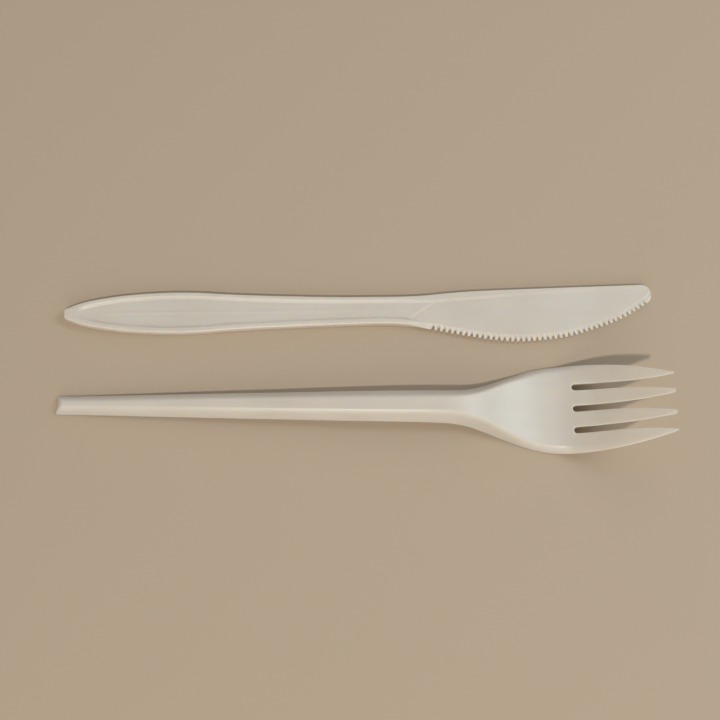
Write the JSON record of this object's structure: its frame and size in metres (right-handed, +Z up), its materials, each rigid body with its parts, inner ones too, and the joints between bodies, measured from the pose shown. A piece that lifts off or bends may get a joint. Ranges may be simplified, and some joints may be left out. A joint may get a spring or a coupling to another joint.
{
  "type": "plastic cutlery pack",
  "caption": "Disposable ivory plastic knife and fork lying side by side: a serrated blade with a round tip, and a fork with a raised neck and slim curved tines.",
  "frame": {"origin": "centre of the pair's footprint, on the table", "axes": "+X from the handle ends to the blade tip and the tines, +Y from the fork to the knife, +Z up"},
  "size_m": [0.1666, 0.0498, 0.0168],
  "materials": {
    "ivory_plastic": "satin"
  },
  "bodies": {
    "root": {"knife": "ivory_plastic", "fork": "ivory_plastic"}
  },
  "joints": []
}
